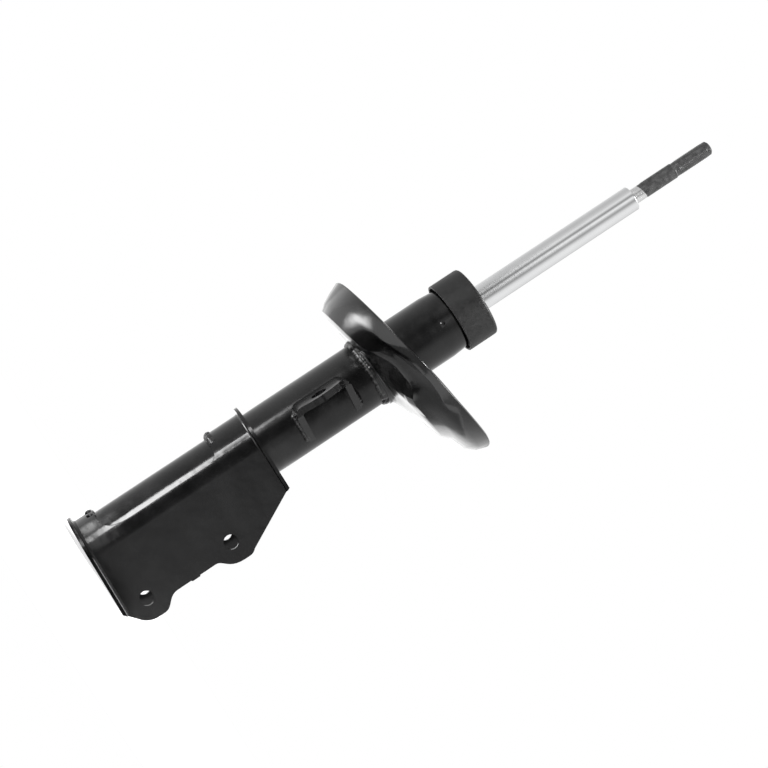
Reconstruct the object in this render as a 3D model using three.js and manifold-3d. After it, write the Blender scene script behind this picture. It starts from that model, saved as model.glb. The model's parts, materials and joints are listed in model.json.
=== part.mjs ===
// MacPherson strut: a twin-tube damper with a clevis bracket, a sway bar link
// bracket and an inclined helical spring seat. Millimetres, +Z along the rod,
// +X towards the clevis ears, origin on the axis under the base cup.
import * as THREE from 'three';
import { mergeVertices } from 'three/addons/utils/BufferGeometryUtils.js';
import Module from 'manifold-3d';

const wasm = await Module();
wasm.setup();

// ---- clearances ----
const seatGap = 0.3; // between pieces that seat on each other
const runningGap = 0.3; // radial, between pieces that slide or turn

// ---- reserve tube and base cup ----
const tubeR = 25.5;
const tubeWall = 2.0;
const baseFlange = 3.0;
const baseBoss = 4.0;
const baseDish = 2.4;
const neckR = 24.4; // the tube is drawn in under the end cap
const neckLength = 12.3;
const crimpR = 15.0;
const dimpleR = 2.6;
const dimpleDepth = 0.8;
const dimpleCount = 3;
const dimpleAngle = -96; // degrees from +X

// ---- end cap ----
const capBottom = 317.9;
const capHeight = 25.3;
const capR = 28.5;
const capRoof = 3.0;
const capSkirt = 1.5;
const capMouth = 3.2;
const capEdge = 2.2;
const capRodClearance = 1.6;

// ---- rod ----
const rodR = 10.0;
const exposedRod = 144.4;
const rodNeckR = 6.0;
const rodNeckLength = 11.0;
const stubR = 6.25;
const stubLength = 28.4;
const threadR = 5.75;
const threadLength = 33.2;
const tipChamfer = 1.4;
const socketFlats = 6.0;
const socketDepth = 8.0;
const shoulderChamfer = 0.6;
const spigotR = 5.9; // lower end, through the piston

// ---- guide and seal ----
const guideHeight = 16.0;
const guideSpigot = 6.0;
const guideTopBore = 0.8; // radial room round the rod above the bush
const bushWall = 1.5;
const bushLength = 14.0;
const ringSection = 1.8;
const sealHeight = 6.0;
const sealLip = 3.0;
const retainerThickness = 2.0;
const retainerBoreR = 13.0;

// ---- pressure tube, piston and valves ----
const pressureR = 16.5;
const pressureWall = 1.5;
const pistonHeight = 14.0;
const pistonBandHeight = 9.0;
const pistonBandWall = 1.2;
const pistonPortCount = 6;
const pistonPortR = 1.3;
const shimThickness = 1.2;
const shimR = 11.0;
const washerThickness = 2.0;
const washerR = 9.5;
const nutHeight = 8.0;
const nutFlats = 17.0;
const bumperHeight = 12.0;
const stopRingHeight = 4.0;
const stopRingDepth = 0.8;
const stopToPiston = 52.0;
const valveFlange = 3.0;
const valveSpigot = 6.0;
const valveRecess = 2.0;
const valvePortCount = 6;
const valvePortR = 1.2;
const pinR = 3.0;
const pinHeadR = 5.0;
const pinHead = 2.0;
const checkPlateThickness = 1.0;
const checkSpringThickness = 1.6;

// ---- clevis bracket ----
const plate = 2.5;
const lip = 4.4; // how far the turned-out edges stand proud
const lipBend = 2.0;
const bracketDrop = 3.0; // the lower lip hangs this far below the base cup
const bracketHeight = 149.4;
const lowerSlant = 0.0463; // fall of the lower lip per mm towards the ears
const upperSlant = 0.0165;
const boltX = 45.0;
const boltR = 5.6;
const lowerBoltZ = 14.5;
const boltSpacing = 73.5;
const lobeR = 16.4;
const lobeFlat = 5.5; // straight stretch at the edge of the lower lobe
const waistX = 52.6;
const lowerLipEnd = 45.2;
const upperLipEnd = 35.0;
const slopeStart = 12.0; // the sloping edge starts this far above the upper bolt
const slopeCorner = 2.6;
const windowLow = 15.8;
const windowHigh = 113.9;
const windowEdge = -11.0;
const windowCorner = 8.0;
const windowSweep = 22.0;
const windowFlat = 2.5; // depth of its straight lower edge, from the tube's back
const tabLength = 8.0;
const tabProud = 0.9;
const bracketBead = 2.8;

// ---- sway bar link bracket ----
const linkCentreZ = 200.5;
const linkLength = 47.0;
const linkPlate = 5.0;
const linkBend = 7.0;
const linkFaceX = -13.2;
const linkTurn = 5.5; // degrees, the web faces a little away from the tube
const linkPivotY = -28.5;
const linkHoleY = -39.5;
const linkHoleR = 6.4;
const linkOuterY = -44.5;
const linkBulge = 5.5;
const linkFootX = 16.0;
const linkBead = 2.6;

// ---- spring seat ----
const seatPlate = 3.0;
const seatNeckBottom = 244.3;
const seatNeckHeight = 2.2; // of the collar, on average; it is higher towards +X
const seatNeckFillet = 3.0;
const seatNeckDip = 2.2; // the floor sags towards the collar on its +X side
const seatAxisZ = 248.5; // the floor's plane crosses the axis here
const floorTilt = 10.9; // degrees, rising towards +X
const rimTilt = 10.4;
const seatLean = 3.2; // degrees, falling towards -Y
const floorR = 56.2; // each ring of the pan has its radius, offset and rise
const floorOffset = 5.6;
const heelR = 64.2;
const heelOffset = 6.8;
const heelRise = 1.8;
const kneeR = 69.2;
const kneeOffset = 7.4;
const kneeRise = 7.6;
const ledgeR = 76.2; // a ledge on the +X side only
const ledgeOffset = 12.8;
const ledgeRise = 10.4;
const upperWallR = 80.0;
const upperWallOffset = 14.0;
const upperWallRise = 16.4;
const rimR = 83.0;
const rimOffset = 13.6;
const rimRise = 24.7;
const nearRimLift = 1.6; // the rim stands higher along the near side
const nearRimStart = 170; // degrees from +X
const nearRimEnd = 350;
const nearRimRamp = 26;
const frontRimDrop = 2.4; // and lower at its +X end
const frontRimReach = 24;
const bumpHeight = 9.8; // the spring's end stop, pressed up from the floor
const bumpStart = 234; // degrees from +X
const bumpCrest = 265;
const bumpEdge = 277;
const bumpEnd = 292;
const seatDrainR = 5.0;
const seatDrainAngle = 115;
const seatSections = 60;
const seatBead = 3.0;
const seatBeadCount = 3;
const seatBeadSweep = 84;
const seatBeadStart = -132;

// ---- facets ----
const coarse = 16;
const medium = 24;
const fine = 44;

const degree = Math.PI / 180;

const finishes = {
  paint: { color: 0x141414, roughness: 0.32, metalness: 0.1 },
  weld: { color: 0x1b1b1b, roughness: 0.4, metalness: 0.1 },
  cap: { color: 0x2b2b2c, roughness: 0.75, metalness: 0.0 },
  chrome: { color: 0xd4d6d8, roughness: 0.12, metalness: 1.0 },
  steel: { color: 0x9a9c9e, roughness: 0.35, metalness: 1.0 },
  sintered: { color: 0x5d5c5a, roughness: 0.6, metalness: 0.8 },
  bronze: { color: 0x9b7a4a, roughness: 0.4, metalness: 0.9 },
  rubber: { color: 0x191919, roughness: 0.8, metalness: 0.0 },
  band: { color: 0x3b3f3a, roughness: 0.6, metalness: 0.0 },
};

const part = new THREE.Group();

// ---- helpers ----

// Adds one named piece with its finish.
function addPiece(name, geometry, finish) {
  const material = new THREE.MeshStandardMaterial(finishes[finish]);
  const mesh = new THREE.Mesh(geometry, material);
  mesh.name = name;
  part.add(mesh);
  return mesh;
}

function signedVolume(geometry) {
  const place = geometry.getAttribute('position');
  const index = geometry.getIndex();
  const a = new THREE.Vector3();
  const b = new THREE.Vector3();
  const c = new THREE.Vector3();
  let volume = 0;
  for (let i = 0; i < index.count; i += 3) {
    a.fromBufferAttribute(place, index.getX(i));
    b.fromBufferAttribute(place, index.getX(i + 1));
    c.fromBufferAttribute(place, index.getX(i + 2));
    volume += a.dot(b.cross(c)) / 6;
  }
  return volume;
}

// Merges shared corners, drops triangles without area and turns the faces out.
function closed(geometry) {
  geometry.deleteAttribute('normal');
  geometry.deleteAttribute('uv');
  const merged = mergeVertices(geometry, 1e-3);
  const index = merged.getIndex();
  const kept = [];
  for (let i = 0; i < index.count; i += 3) {
    const corners = [index.getX(i), index.getX(i + 1), index.getX(i + 2)];
    if (new Set(corners).size === 3) kept.push(...corners);
  }
  merged.setIndex(kept);
  if (signedVolume(merged) < 0) {
    for (let i = 0; i < kept.length; i += 3) {
      [kept[i + 1], kept[i + 2]] = [kept[i + 2], kept[i + 1]];
    }
    merged.setIndex(kept);
  }
  return merged;
}

function solid(geometry) {
  const ready = closed(geometry);
  const mesh = new wasm.Mesh({
    numProp: 3,
    vertProperties: new Float32Array(ready.getAttribute('position').array),
    triVerts: new Uint32Array(ready.getIndex().array),
  });
  return new wasm.Manifold(mesh);
}

function geometryOf(manifold) {
  const mesh = manifold.getMesh();
  const geometry = new THREE.BufferGeometry();
  geometry.setAttribute('position', new THREE.BufferAttribute(mesh.vertProperties, 3));
  geometry.setIndex(new THREE.BufferAttribute(mesh.triVerts, 1));
  return closed(geometry);
}

// A body of revolution about Z from [radius, height] points that close on themselves.
function revolve(points, segments = medium) {
  const profile = [...points, points[0]].map(([r, z]) => new THREE.Vector2(r, z));
  return closed(new THREE.LatheGeometry(profile, segments).rotateX(Math.PI / 2));
}

function ring(innerR, outerR, low, high, segments = medium) {
  return revolve([[innerR, low], [outerR, low], [outerR, high], [innerR, high]], segments);
}

// A round solid along Z, slightly longer than what it cuts.
function drill(radius, low, high, segments = 12) {
  const length = high - low;
  const shape = new THREE.CylinderGeometry(radius, radius, length, segments);
  return shape.rotateX(Math.PI / 2).translate(0, 0, (low + high) / 2);
}

// Points of an arc in a profile, ends included.
function arc(cx, cy, radius, from, to, steps) {
  const points = [];
  for (let i = 0; i <= steps; i += 1) {
    const angle = (from + ((to - from) * i) / steps) * degree;
    points.push([cx + radius * Math.cos(angle), cy + radius * Math.sin(angle)]);
  }
  return points;
}

// Joins equal rings of points into one closed skin; an open row gets end faces.
function loft(rings, endless) {
  const size = rings[0].length;
  const corners = rings.flat().flatMap((p) => [p.x, p.y, p.z]);
  const faces = [];
  const spans = endless ? rings.length : rings.length - 1;
  for (let i = 0; i < spans; i += 1) {
    const here = i * size;
    const next = ((i + 1) % rings.length) * size;
    for (let k = 0; k < size; k += 1) {
      const m = (k + 1) % size;
      faces.push(here + k, next + k, next + m, here + k, next + m, here + m);
    }
  }
  if (!endless) {
    const last = (rings.length - 1) * size;
    for (const [a, b, c] of flatFaces(rings[0])) {
      faces.push(a, b, c, last + a, last + c, last + b);
    }
  }
  const geometry = new THREE.BufferGeometry();
  geometry.setAttribute('position', new THREE.Float32BufferAttribute(corners, 3));
  geometry.setIndex(faces);
  return closed(geometry);
}

// Triangles of a flat ring of points, wound to close the start of a loft.
function flatFaces(points) {
  const normal = new THREE.Vector3();
  points.forEach((p, i) => normal.add(p.clone().cross(points[(i + 1) % points.length])));
  normal.normalize();
  const side = new THREE.Vector3().subVectors(points[1], points[0]).normalize();
  const up = new THREE.Vector3().crossVectors(normal, side);
  const flat = points.map((p) => new THREE.Vector2(p.dot(side), p.dot(up)));
  return THREE.ShapeUtils.triangulateShape(flat, []);
}

// A shape drawn in X and Z, extruded along Y between two planes.
function slabY(shape, low, high, curveSegments = 8) {
  const geometry = new THREE.ExtrudeGeometry(shape, {
    depth: high - low,
    bevelEnabled: false,
    curveSegments,
  });
  return geometry.rotateX(Math.PI / 2).translate(0, high, 0);
}

// A shape drawn in X and Y, extruded along Z.
function slabZ(shape, low, high, curveSegments = 8) {
  const geometry = new THREE.ExtrudeGeometry(shape, {
    depth: high - low,
    bevelEnabled: false,
    curveSegments,
  });
  return geometry.translate(0, 0, low);
}

// A shape drawn in Y and Z, extruded along X.
function slabX(shape, low, high, curveSegments = 8) {
  const geometry = new THREE.ExtrudeGeometry(shape, {
    depth: high - low,
    bevelEnabled: false,
    curveSegments,
  });
  const turn = new THREE.Matrix4().makeBasis(
    new THREE.Vector3(0, 1, 0),
    new THREE.Vector3(0, 0, 1),
    new THREE.Vector3(1, 0, 0),
  );
  return geometry.applyMatrix4(turn).translate(low, 0, 0);
}

// A weld bead round the axis, lying in the corner of a wall of radius wallR and a
// face at height faceZ; side is +1 when the bead lies above the face.
function cornerBead(wallR, faceZ, size, side, startAngle, sweep) {
  const base = faceZ + side * seatGap;
  const root = wallR + seatGap;
  const section = [
    [root, base],
    [root + size * 0.92, base],
    [root + size * 0.8, base + side * size * 0.48],
    [root + size * 0.48, base + side * size * 0.8],
    [root, base + side * size * 0.95],
  ];
  const steps = Math.max(3, Math.round(Math.abs(sweep) / 9));
  const rings = [];
  for (let i = 0; i <= steps; i += 1) {
    const angle = (startAngle + (sweep * i) / steps) * degree;
    const end = Math.min(i, steps - i) === 0 ? 0.55 : 1;
    const radial = new THREE.Vector3(Math.cos(angle), Math.sin(angle), 0);
    rings.push(section.map(([r, z]) => {
      const out = radial.clone().multiplyScalar(root + (r - root) * end);
      return out.setZ(base + (z - base) * end);
    }));
  }
  return loft(rings, false);
}

// ---- stations along the axis ----
const capTop = capBottom + capHeight;
const shoulderZ = capTop + exposedRod;
const tubeTop = capTop - capRoof - seatGap;
const crimpUnder = tubeTop - tubeWall;
const retainerTop = crimpUnder - seatGap;
const retainerBottom = retainerTop - retainerThickness;
const sealTop = retainerBottom - seatGap;
const sealBottom = sealTop - sealHeight;
const guideTop = sealBottom - seatGap;
const guideBottom = guideTop - guideHeight;
const spigotBottom = guideBottom - guideSpigot;
const bumperTop = spigotBottom - seatGap;
const bumperBottom = bumperTop - bumperHeight;
const stopRingTop = bumperBottom - seatGap;
const stopRingBottom = stopRingTop - stopRingHeight;
const rodStep = stopRingBottom - stopToPiston;
const upperWasherTop = rodStep - seatGap;
const upperShimTop = upperWasherTop - washerThickness - seatGap;
const pistonTop = upperShimTop - shimThickness - seatGap;
const pistonBottom = pistonTop - pistonHeight;
const lowerShimTop = pistonBottom - seatGap;
const lowerWasherTop = lowerShimTop - shimThickness - seatGap;
const nutTop = lowerWasherTop - washerThickness - seatGap;
const nutBottom = nutTop - nutHeight;
const tubeInnerR = tubeR - tubeWall;
const neckInnerR = neckR - tubeWall;
const pressureInnerR = pressureR - pressureWall;
const bossTop = baseFlange + baseBoss;
const valveBottom = bossTop + seatGap;
const valveSeat = valveBottom + valveFlange;
const valveTop = valveSeat + valveSpigot;
const pressureBottom = valveSeat + seatGap;
const pressureTop = guideBottom - seatGap;
const bracketInnerR = tubeR + seatGap;
const bracketOuterR = bracketInnerR + plate;
const windowShoulder = windowEdge + tubeR - windowFlat;

// ---- reserve tube ----

function reserveTube() {
  const neckStart = capBottom - neckLength;
  const bottom = baseFlange + seatGap;
  const roll = tubeWall * 1.5;
  const crown = arc(neckR - roll, tubeTop - roll, roll, 0, 90, 3);
  const inside = arc(neckInnerR - 1, crimpUnder - 1, 1, 90, 0, 2);
  const body = solid(revolve([
    [tubeInnerR, bottom],
    [tubeR, bottom],
    [tubeR, neckStart],
    [neckR, capBottom],
    ...crown,
    [crimpR, tubeTop],
    [crimpR, crimpUnder],
    ...inside,
    [neckInnerR, capBottom],
    [tubeInnerR, neckStart],
  ], fine));
  const ballR = (dimpleR ** 2 + dimpleDepth ** 2) / (2 * dimpleDepth);
  const dimpleZ = neckStart + dimpleR;
  let tube = body;
  for (let i = 0; i < dimpleCount; i += 1) {
    const angle = (dimpleAngle + (360 * i) / dimpleCount) * degree;
    const reach = tubeR - dimpleDepth + ballR;
    const ball = new THREE.SphereGeometry(ballR, 12, 10);
    ball.translate(reach * Math.cos(angle), reach * Math.sin(angle), dimpleZ);
    tube = tube.subtract(solid(ball));
  }
  return geometryOf(tube);
}

// A cap under the tube's edge, with a boss that centres it in the bore.
function baseCup() {
  const bossR = tubeInnerR - seatGap;
  return revolve([
    [0, 0],
    [tubeR - 1, 0],
    [tubeR, 1],
    [tubeR, baseFlange],
    [bossR, baseFlange],
    [bossR, bossTop],
    [pressureR, bossTop],
    [pressureR - baseDish, bossTop - baseDish],
    [0, bossTop - baseDish],
  ]);
}

// ---- end cap, guide and seal ----

function endCap() {
  const boreR = rodR + capRodClearance;
  const gripR = neckR + seatGap;
  const roofUnder = capTop - capRoof;
  return revolve([
    [capR - capSkirt, capBottom],
    [capR, capBottom],
    ...arc(capR - capEdge, capTop - capEdge, capEdge, 0, 90, 3),
    [boreR + 4, capTop],
    [boreR + 3, capTop - 0.8],
    [boreR, capTop - 0.8],
    [boreR, roofUnder],
    [gripR, roofUnder],
    [gripR, capBottom + capMouth],
    [capR - capSkirt, capBottom + capMouth],
  ], fine);
}

function rodGuide() {
  const outerR = neckInnerR - seatGap;
  const bushBore = rodR + runningGap + bushWall + seatGap;
  const topBore = rodR + guideTopBore;
  const grooveR = outerR - ringSection - seatGap;
  const groove = ringSection + 2 * seatGap;
  const bushSeat = guideBottom + bushLength - guideSpigot + seatGap;
  return revolve([
    [bushBore, spigotBottom],
    [pressureInnerR - seatGap, spigotBottom],
    [pressureInnerR - seatGap, guideBottom],
    [outerR, guideBottom],
    [outerR, guideTop - groove],
    [grooveR, guideTop - groove],
    [grooveR, guideTop],
    [topBore, guideTop],
    [topBore, bushSeat],
    [bushBore, bushSeat],
  ]);
}

function guideBush() {
  const innerR = rodR + runningGap;
  return ring(innerR, innerR + bushWall, spigotBottom, guideBottom + bushLength - guideSpigot);
}

function guideRing() {
  const outerR = neckInnerR - seatGap;
  const centreR = outerR - ringSection / 2;
  const centreZ = guideTop - ringSection / 2 - seatGap;
  const outline = arc(centreR, centreZ, ringSection / 2, 0, 300, 5);
  return revolve(outline);
}

function rodSeal() {
  const innerR = rodR + runningGap;
  const outerR = neckInnerR - seatGap;
  const waistR = innerR + sealLip;
  return revolve([
    [innerR, sealBottom],
    [outerR, sealBottom],
    [outerR, sealTop],
    [waistR + 1, sealTop],
    [waistR, sealTop - 1.5],
    [innerR + 1.2, sealTop - 0.4],
    [innerR, sealTop - 1.6],
    [innerR + 0.9, sealBottom + sealHeight / 2],
  ]);
}

function sealRetainer() {
  return ring(retainerBoreR, neckInnerR - seatGap, retainerBottom, retainerTop);
}

// ---- rod and what rides on it ----

function pistonRod() {
  const neckTop = shoulderZ + rodNeckLength;
  const stubTop = neckTop + stubLength;
  const tip = stubTop + threadLength;
  const grooveR = rodR - stopRingDepth;
  const grooveLow = stopRingBottom - seatGap;
  const grooveHigh = stopRingTop + seatGap;
  const rod = solid(revolve([
    [0, nutBottom - 1],
    [spigotR - 0.8, nutBottom - 1],
    [spigotR, nutBottom],
    [spigotR, rodStep],
    [rodR, rodStep],
    [rodR, grooveLow],
    [grooveR, grooveLow],
    [grooveR, grooveHigh],
    [rodR, grooveHigh],
    [rodR, shoulderZ - shoulderChamfer],
    [rodR - shoulderChamfer, shoulderZ],
    [rodNeckR, shoulderZ],
    [rodNeckR, neckTop],
    [stubR, neckTop + 0.6],
    [stubR, stubTop - 0.6],
    [threadR, stubTop],
    [threadR, tip - tipChamfer],
    [threadR - tipChamfer, tip],
    [0, tip],
  ]));
  const socketR = socketFlats / Math.sqrt(3);
  const socket = drill(socketR, tip - socketDepth, tip + 1, 6);
  return geometryOf(rod.subtract(solid(socket)));
}

function ringOfPorts(body, count, portR, circleR, low, high, startAngle = 0) {
  let result = body;
  for (let i = 0; i < count; i += 1) {
    const angle = (startAngle + (360 * i) / count) * degree;
    const port = drill(portR, low - 1, high + 1, 8);
    port.translate(circleR * Math.cos(angle), circleR * Math.sin(angle), 0);
    result = result.subtract(solid(port));
  }
  return result;
}

function pistonBody() {
  const landR = pressureInnerR - runningGap - 0.5;
  const grooveR = pressureInnerR - runningGap - pistonBandWall - seatGap;
  const boreR = spigotR + seatGap;
  const grooveHalf = pistonBandHeight / 2 + seatGap;
  const middle = (pistonTop + pistonBottom) / 2;
  const body = solid(revolve([
    [boreR, pistonBottom],
    [landR, pistonBottom],
    [landR, middle - grooveHalf],
    [grooveR, middle - grooveHalf],
    [grooveR, middle + grooveHalf],
    [landR, middle + grooveHalf],
    [landR, pistonTop],
    [boreR, pistonTop],
  ]));
  const portCircle = (boreR + shimR) / 2;
  return geometryOf(ringOfPorts(body, pistonPortCount, pistonPortR, portCircle, pistonBottom, pistonTop));
}

function pistonBand() {
  const outerR = pressureInnerR - runningGap;
  const middle = (pistonTop + pistonBottom) / 2;
  const half = pistonBandHeight / 2;
  return ring(outerR - pistonBandWall, outerR, middle - half, middle + half);
}

// Thin discs that grow smaller away from the piston face, fused as one stack.
function shimStack(top, towardsTop) {
  const innerR = spigotR + seatGap;
  const low = top - shimThickness;
  const middle = top - shimThickness / 2;
  const smallR = shimR - 1.8;
  const lowR = towardsTop ? shimR : smallR;
  const highR = towardsTop ? smallR : shimR;
  return revolve([
    [innerR, low],
    [lowR, low],
    [lowR, middle],
    [highR, middle],
    [highR, top],
    [innerR, top],
  ], coarse);
}

function valveWasher(top) {
  return ring(spigotR + seatGap, washerR, top - washerThickness, top, coarse);
}

function pistonNut() {
  const cornerR = nutFlats / Math.sqrt(3);
  const body = drill(cornerR, nutBottom, nutTop, 6);
  const hole = drill(spigotR + seatGap, nutBottom - 1, nutTop + 1, coarse);
  return geometryOf(solid(body).subtract(solid(hole)));
}

function reboundStopRing() {
  const innerR = rodR - stopRingDepth + seatGap;
  return ring(innerR, pressureInnerR - 1.5, stopRingBottom, stopRingTop);
}

function reboundBumper() {
  const innerR = rodR + seatGap;
  const outerR = pressureInnerR - 1.2;
  const waist = outerR - 1.0;
  const middle = (bumperTop + bumperBottom) / 2;
  return revolve([
    [innerR, bumperBottom],
    [outerR, bumperBottom],
    [outerR, bumperBottom + 3],
    [waist, middle],
    [outerR, bumperTop - 3],
    [outerR, bumperTop],
    [innerR, bumperTop],
  ]);
}

// ---- base valve ----

function baseValveBody() {
  const boreR = pinR + seatGap;
  const recessR = pressureInnerR - 2.5;
  const body = solid(revolve([
    [boreR, valveBottom + valveRecess],
    [recessR, valveBottom + valveRecess],
    [recessR, valveBottom],
    [pressureR, valveBottom],
    [pressureR, valveSeat],
    [pressureInnerR - seatGap, valveSeat],
    [pressureInnerR - seatGap, valveTop],
    [boreR, valveTop],
  ]));
  const portCircle = (boreR + recessR) / 2 + 1;
  return geometryOf(ringOfPorts(body, valvePortCount, valvePortR, portCircle, valveBottom, valveTop));
}

function baseValveDiscs() {
  const top = valveBottom + valveRecess - seatGap;
  return ring(pinR + seatGap, pressureInnerR - 4.5, top - shimThickness, top, coarse);
}

function checkPlate() {
  const low = valveTop + seatGap;
  return ring(pinR + seatGap, pressureInnerR - 3, low, low + checkPlateThickness, coarse);
}

function checkSpring() {
  const low = valveTop + seatGap + checkPlateThickness + seatGap;
  const high = low + checkSpringThickness;
  return revolve([
    [pinR + seatGap, high - 0.5],
    [pressureInnerR - 6, low],
    [pressureInnerR - 6, low + 0.5],
    [pinR + seatGap, high],
  ], coarse);
}

function baseValvePin() {
  const springTop = valveTop + 2 * seatGap + checkPlateThickness + checkSpringThickness;
  const headLow = springTop + seatGap;
  const foot = valveBottom + valveRecess - 2 * seatGap - shimThickness;
  return revolve([
    [0, foot - pinHead],
    [pinHeadR, foot - pinHead],
    [pinHeadR, foot],
    [pinR, foot],
    [pinR, headLow],
    [pinHeadR, headLow],
    [pinHeadR, headLow + pinHead],
    [0, headLow + pinHead],
  ], coarse);
}

// ---- clevis bracket ----

const lowerLipAt = (x) => -bracketDrop - lowerSlant * (x + bracketOuterR);
const upperLipAt = (x) => bracketHeight - bracketDrop - upperSlant * (x + bracketOuterR);

// Section of a turned-out edge: [out from the plate's outer face, up from the edge].
function lipSection() {
  const overlap = lipBend + plate;
  return [
    ...arc(lipBend, overlap, lipBend, 180, 270, 2),
    [lip, plate],
    [lip, 0],
    ...arc(lipBend, overlap, overlap, 270, 180, 3),
    [-plate * 0.75, overlap + 3],
    [-plate * 0.25, overlap + 3],
  ];
}

// Sweeps the section round the U: along one ear, round the back, along the other.
function turnedLip(endX, heightAt, up) {
  const section = lipSection();
  const stations = [{ x: endX, y: bracketOuterR, nx: 0, ny: 1 }];
  for (let i = 0; i <= fine / 2; i += 1) {
    const angle = (90 + (360 * i) / fine) * degree;
    const nx = Math.cos(angle);
    const ny = Math.sin(angle);
    stations.push({ x: bracketOuterR * nx, y: bracketOuterR * ny, nx, ny });
  }
  stations.push({ x: endX, y: -bracketOuterR, nx: 0, ny: -1 });
  const rings = stations.map(({ x, y, nx, ny }) => section.map(([out, rise]) => (
    new THREE.Vector3(x + nx * out, y + ny * out, heightAt(x) + up * rise)
  )));
  return loft(rings, false);
}

// Plan of the plate: a U open towards +X.
function bracketPlan() {
  const reach = boltX + 2 * lobeR;
  const plan = new THREE.Shape();
  plan.moveTo(reach, bracketOuterR);
  plan.lineTo(0, bracketOuterR);
  plan.absarc(0, 0, bracketOuterR, Math.PI / 2, (3 * Math.PI) / 2, false);
  plan.lineTo(reach, -bracketOuterR);
  plan.lineTo(reach, -bracketInnerR);
  plan.absarc(0, 0, bracketInnerR, (3 * Math.PI) / 2, Math.PI / 2, true);
  plan.lineTo(reach, bracketInnerR);
  return plan;
}

// A point of the sloping lower corner of the ears, a given rise above the lip's end.
function lowerChamfer(rise) {
  const startZ = lowerLipAt(lowerLipEnd);
  const lobeX = boltX + lobeR * Math.SQRT1_2;
  const lobeZ = lowerBoltZ - lobeR * Math.SQRT1_2;
  const share = rise / (lobeZ - startZ);
  return [lowerLipEnd + (lobeX - lowerLipEnd) * share, startZ + rise];
}

// A point of the sloping upper edge of the ears, a given drop below the lip's end.
function upperSlope(drop) {
  const startZ = upperLipAt(upperLipEnd);
  const shoulderX = boltX + lobeR - slopeCorner;
  const share = drop / (startZ - lowerBoltZ - boltSpacing - slopeStart);
  return [upperLipEnd + (shoulderX - upperLipEnd) * share, startZ - drop];
}

// What a sloping edge takes off the end of its lip.
function lipTrim(edgeAt) {
  const [insideX, insideZ] = edgeAt(-lobeR);
  const [outsideX, outsideZ] = edgeAt(2 * (lipBend + plate));
  const trim = new THREE.Shape();
  trim.moveTo(insideX, insideZ);
  trim.lineTo(outsideX + lobeR, insideZ);
  trim.lineTo(outsideX + lobeR, outsideZ);
  trim.lineTo(outsideX, outsideZ);
  return trim;
}

// Side outline of the ears: two lobes round the bolt holes and a waist between them.
function earOutline() {
  const rise = lipBend + plate;
  const back = -2 * bracketOuterR;
  const upperBoltZ = lowerBoltZ + boltSpacing;
  const [chamferX, chamferZ] = lowerChamfer(rise);
  const lobeEdge = boltX + lobeR;
  const outline = new THREE.Shape();
  outline.moveTo(back, lowerLipAt(back) + rise);
  outline.lineTo(chamferX, chamferZ);
  outline.absarc(boltX, lowerBoltZ, lobeR, -45 * degree, 0, false);
  const flatEnd = lowerBoltZ + lobeFlat;
  outline.lineTo(lobeEdge, flatEnd);
  outline.bezierCurveTo(lobeEdge, flatEnd + 7, waistX, flatEnd + 8, waistX, flatEnd + lobeR);
  const middle = lowerBoltZ + boltSpacing / 2 + 1;
  outline.lineTo(waistX, middle - tabLength / 2);
  outline.lineTo(waistX + tabProud, middle - tabLength / 2 + 0.8);
  outline.lineTo(waistX + tabProud, middle + tabLength / 2 - 0.8);
  outline.lineTo(waistX, middle + tabLength / 2);
  outline.lineTo(waistX, upperBoltZ - lobeR - 2);
  outline.bezierCurveTo(
    waistX,
    upperBoltZ - 0.75 * lobeR,
    lobeEdge,
    upperBoltZ - 0.75 * lobeR,
    lobeEdge,
    upperBoltZ + 2,
  );
  const [cornerX, cornerZ] = upperSlope(upperLipAt(upperLipEnd) - upperBoltZ - slopeStart);
  outline.lineTo(lobeEdge, upperBoltZ + slopeStart / 2);
  outline.quadraticCurveTo(lobeEdge, cornerZ - slopeCorner, cornerX, cornerZ);
  outline.lineTo(...upperSlope(rise));
  outline.lineTo(back, upperLipAt(back) - rise);
  return outline;
}

// The opening in the wrap behind the tube, seen from the side.
function windowOutline() {
  const back = -2 * bracketOuterR;
  const outline = new THREE.Shape();
  outline.moveTo(back, windowLow);
  outline.lineTo(windowEdge - windowShoulder, windowLow);
  outline.bezierCurveTo(
    windowEdge - windowShoulder / 4,
    windowLow,
    windowEdge,
    windowLow + windowSweep * 0.4,
    windowEdge,
    windowLow + windowSweep,
  );
  outline.lineTo(windowEdge, windowHigh - windowCorner);
  outline.absarc(windowEdge - windowCorner, windowHigh - windowCorner, windowCorner, 0, 90 * degree, false);
  outline.lineTo(back, windowHigh);
  return outline;
}

function clevisBracket() {
  const tall = bracketHeight + 40;
  const wide = 2 * bracketOuterR;
  const wrap = solid(slabZ(bracketPlan(), -20, tall, fine / 2));
  const ears = solid(slabY(earOutline(), -wide, wide, 10));
  const window = solid(slabY(windowOutline(), -wide, wide, 8));
  const upperBoltZ = lowerBoltZ + boltSpacing;
  const lips = [[lowerChamfer, lowerLipAt, 1], [upperSlope, upperLipAt, -1]].map(
    ([edgeAt, heightAt, up]) => {
      const lipSolid = solid(turnedLip(edgeAt(lipBend + plate)[0], heightAt, up));
      return lipSolid.subtract(solid(slabY(lipTrim(edgeAt), -wide, wide)));
    },
  );
  let bracket = wrap.intersect(ears).subtract(window).add(lips[0]).add(lips[1]);
  for (const z of [lowerBoltZ, upperBoltZ]) {
    const hole = new THREE.CylinderGeometry(boltR, boltR, 4 * bracketOuterR, coarse);
    hole.translate(boltX, 0, z);
    bracket = bracket.subtract(solid(hole));
  }
  return geometryOf(bracket);
}

// A bead along the straight part of the window's lower or upper edge.
function windowBead(face, side, corner) {
  const half = Math.acos((corner - windowEdge) / tubeR) / degree - 1;
  return cornerBead(tubeR, face, bracketBead, side, 180 - half, 2 * half);
}

// ---- sway bar link bracket ----

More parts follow.
